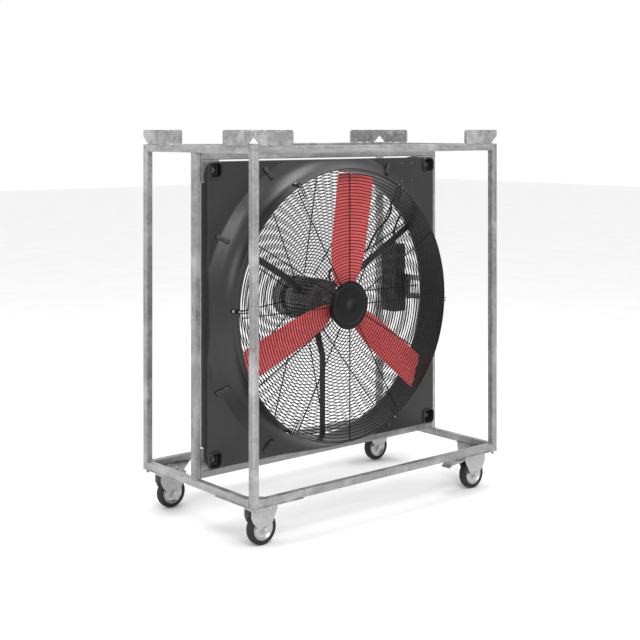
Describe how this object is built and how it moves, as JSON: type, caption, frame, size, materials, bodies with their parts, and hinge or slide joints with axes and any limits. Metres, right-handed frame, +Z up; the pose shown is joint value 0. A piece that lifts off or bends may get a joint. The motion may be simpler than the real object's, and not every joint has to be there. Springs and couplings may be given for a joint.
{
  "type": "mobile axial ventilation fan",
  "caption": "Wheeled axial ventilation fan: a black moulded bell-mouth fan with red blades and wire guards in a galvanised stackable tube trolley on swivel casters.",
  "frame": {"origin": "on the floor under the middle of the trolley", "axes": "+X along the trolley to its right as seen from the guard side, +Y from the guard side towards the motor, +Z up"},
  "size_m": [1.6, 0.9, 1.867],
  "materials": {
    "galvanised_tube": "hot-dip galvanised, spangled and streaked",
    "galvanised_plate": "hot-dip galvanised plate",
    "zinc_plated_steel": "zinc-plated pressed steel",
    "bright_zinc": "bright zinc-plated",
    "zinc_rim": "zinc-plated pressed rim",
    "black_rubber": "matte solid rubber",
    "black_moulding": "satin moulded black",
    "black_wire": "satin black powder coat on wire",
    "black_disc": "satin black pressed disc",
    "black_steel": "dark painted steel",
    "motor_black": "black painted casting",
    "bearing_steel": "ground bearing steel",
    "stator_varnish": "varnished windings",
    "cable_rubber": "matte black cable sheath",
    "box_plastic": "textured black enclosure",
    "knob_red": "moulded red knob",
    "hub_black": "black painted casting",
    "blade_red": "red powder coat on blades",
    "shaft_steel": "turned steel",
    "fan_plastic": "moulded fan"
  },
  "bodies": {
    "trolley": {"post_front_left": "galvanised_tube", "post_front_right": "galvanised_tube", "post_rear_left": "galvanised_tube", "post_rear_right": "galvanised_tube", "rail_bottom_front": "galvanised_tube", "rail_bottom_rear": "galvanised_tube", "rail_bottom_left": "galvanised_tube", "rail_bottom_right": "galvanised_tube", "rail_top_front": "galvanised_tube", "rail_top_rear": "galvanised_tube", "rail_top_left": "galvanised_tube", "rail_top_right": "galvanised_tube", "inner_post_left": "galvanised_tube", "inner_post_right": "galvanised_tube", "inner_rail_bottom": "galvanised_tube", "inner_rail_top": "galvanised_tube", "stacking_lugs": "galvanised_plate", "gusset_plates": "galvanised_plate", "caster_plates": "zinc_plated_steel", "fasteners": "bright_zinc", "fan_housing": "black_moulding", "front_guard": "black_wire", "guard_disc": "black_disc", "rear_guard": "black_wire", "motor_struts": "black_steel", "motor_shell": "motor_black", "motor_front_shield": "motor_black", "motor_rear_shield": "motor_black", "motor_bearings": "bearing_steel", "stator": "stator_varnish", "cooling_fan_cover": "motor_black", "terminal_box": "motor_black", "terminal_box_lid": "motor_black", "motor_cable": "cable_rubber", "control_box": "box_plastic", "control_box_cover": "box_plastic", "control_box_bracket": "galvanised_plate"},
    "impeller": {"impeller_hub": "hub_black", "impeller_blades": "blade_red", "rotor_shaft": "shaft_steel", "cooling_fan": "fan_plastic"},
    "isolator_knob": {"isolator_knob": "knob_red"},
    "swivel_front_left": {"fork_front_left": "zinc_plated_steel", "axle_front_left": "bright_zinc"},
    "wheel_front_left": {"wheel_rim_front_left": "zinc_rim", "tyre_front_left": "black_rubber"},
    "swivel_front_right": {"fork_front_right": "zinc_plated_steel", "axle_front_right": "bright_zinc"},
    "wheel_front_right": {"wheel_rim_front_right": "zinc_rim", "tyre_front_right": "black_rubber"},
    "swivel_rear_left": {"fork_rear_left": "zinc_plated_steel", "axle_rear_left": "bright_zinc"},
    "wheel_rear_left": {"wheel_rim_rear_left": "zinc_rim", "tyre_rear_left": "black_rubber"},
    "swivel_rear_right": {"fork_rear_right": "zinc_plated_steel", "axle_rear_right": "bright_zinc"},
    "wheel_rear_right": {"wheel_rim_rear_right": "zinc_rim", "tyre_rear_right": "black_rubber"},
    "brake_pedal_front": {"brake_pedal_front": "zinc_plated_steel"},
    "brake_pedal_rear": {"brake_pedal_rear": "zinc_plated_steel"}
  },
  "joints": [
    {"name": "impeller_spin", "type": "hinge", "parent": "trolley", "child": "impeller", "pos_m": [0, -0.136, 0.995], "axis": [0, 1, 0], "continuous": true},
    {"name": "swivel_front_left_turn", "type": "hinge", "parent": "trolley", "child": "swivel_front_left", "pos_m": [-0.716, -0.366, 0.177], "axis": [0, 0, 1], "continuous": true},
    {"name": "wheel_front_left_roll", "type": "hinge", "parent": "swivel_front_left", "child": "wheel_front_left", "pos_m": [-0.691, -0.366, 0.075], "axis": [0, 1, 0], "continuous": true},
    {"name": "swivel_front_right_turn", "type": "hinge", "parent": "trolley", "child": "swivel_front_right", "pos_m": [0.716, -0.366, 0.177], "axis": [0, 0, 1], "continuous": true},
    {"name": "wheel_front_right_roll", "type": "hinge", "parent": "swivel_front_right", "child": "wheel_front_right", "pos_m": [0.691, -0.366, 0.075], "axis": [0, 1, 0], "continuous": true},
    {"name": "swivel_rear_left_turn", "type": "hinge", "parent": "trolley", "child": "swivel_rear_left", "pos_m": [-0.716, 0.366, 0.177], "axis": [0, 0, 1], "continuous": true},
    {"name": "wheel_rear_left_roll", "type": "hinge", "parent": "swivel_rear_left", "child": "wheel_rear_left", "pos_m": [-0.691, 0.366, 0.075], "axis": [0, 1, 0], "continuous": true},
    {"name": "swivel_rear_right_turn", "type": "hinge", "parent": "trolley", "child": "swivel_rear_right", "pos_m": [0.716, 0.366, 0.177], "axis": [0, 0, 1], "continuous": true},
    {"name": "wheel_rear_right_roll", "type": "hinge", "parent": "swivel_rear_right", "child": "wheel_rear_right", "pos_m": [0.691, 0.366, 0.075], "axis": [0, 1, 0], "continuous": true},
    {"name": "brake_pedal_front_press", "type": "hinge", "parent": "swivel_front_right", "child": "brake_pedal_front", "pos_m": [0.652, -0.366, 0.16], "axis": [0, -1, 0], "range_deg": [0, 10], "stiffness_Nm_per_rad": 1, "springref_deg": -2.86},
    {"name": "brake_pedal_rear_press", "type": "hinge", "parent": "swivel_rear_right", "child": "brake_pedal_rear", "pos_m": [0.652, 0.366, 0.16], "axis": [0, -1, 0], "range_deg": [0, 10], "stiffness_Nm_per_rad": 1, "springref_deg": -2.86},
    {"name": "isolator_turn", "type": "hinge", "parent": "trolley", "child": "isolator_knob", "pos_m": [0.72, 0.305, 1.14], "axis": [0, 1, 0], "range_deg": [0, 90]}
  ]
}
